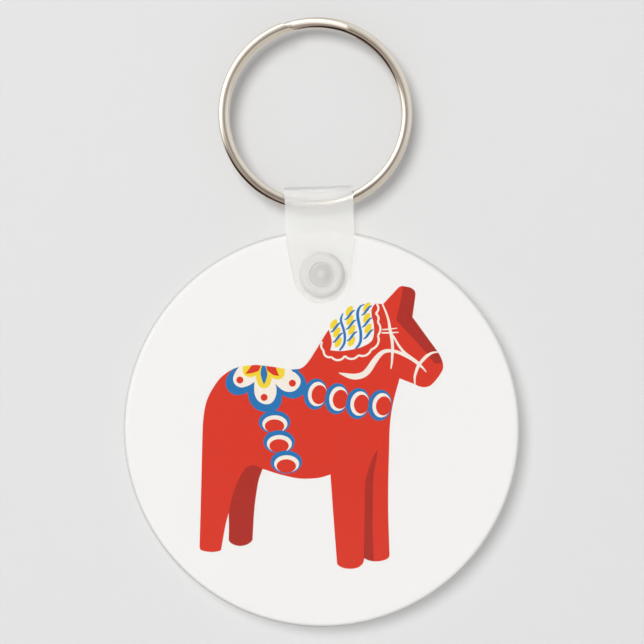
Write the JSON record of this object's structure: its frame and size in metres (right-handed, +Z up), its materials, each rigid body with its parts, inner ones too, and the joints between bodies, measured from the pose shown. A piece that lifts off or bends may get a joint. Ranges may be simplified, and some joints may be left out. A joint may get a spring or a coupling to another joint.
{
  "type": "button key ring",
  "caption": "Round button key ring with a printed red dala horse, a translucent snap strap and a nickel split ring.",
  "frame": {"origin": "inside top of the split ring, at the point where it hangs on a hook", "axes": "+Z up, -Y the way the printed face looks, +X to the right as the face is seen"},
  "size_m": [0.0571, 0.0061, 0.0879],
  "materials": {
    "nickel_wire": "polished",
    "milky_plastic": "satin",
    "clear_film": "gloss",
    "white_paper": "matt",
    "ink_red": "satin",
    "ink_dark_red": "satin",
    "ink_blue": "satin",
    "ink_cream": "satin",
    "ink_yellow": "satin",
    "tinplate": "satin",
    "white_plate": "satin"
  },
  "bodies": {
    "ring": {"split_ring": "nickel_wire"},
    "loop": {"strap": "milky_plastic", "snap_socket": "milky_plastic", "snap_post": "milky_plastic"},
    "tag": {"cover_film": "clear_film", "ink_red": "ink_red", "ink_dark_red": "ink_dark_red", "ink_blue": "ink_blue", "ink_cream": "ink_cream", "ink_yellow": "ink_yellow", "print_sheet": "white_paper", "front_shell": "tinplate", "back_plate": "white_plate"}
  },
  "joints": [
    {"name": "strap_swing", "type": "hinge", "parent": "ring", "child": "loop", "pos_m": [0.00053, 0, -0.02519], "axis": [0.9991, 0, 0.0414], "range_deg": [-110, 110]},
    {"name": "disc_swivel", "type": "hinge", "parent": "loop", "child": "tag", "pos_m": [0.00096, 0, -0.0356], "axis": [0, -1, 0], "range_deg": [-24, 24]}
  ]
}
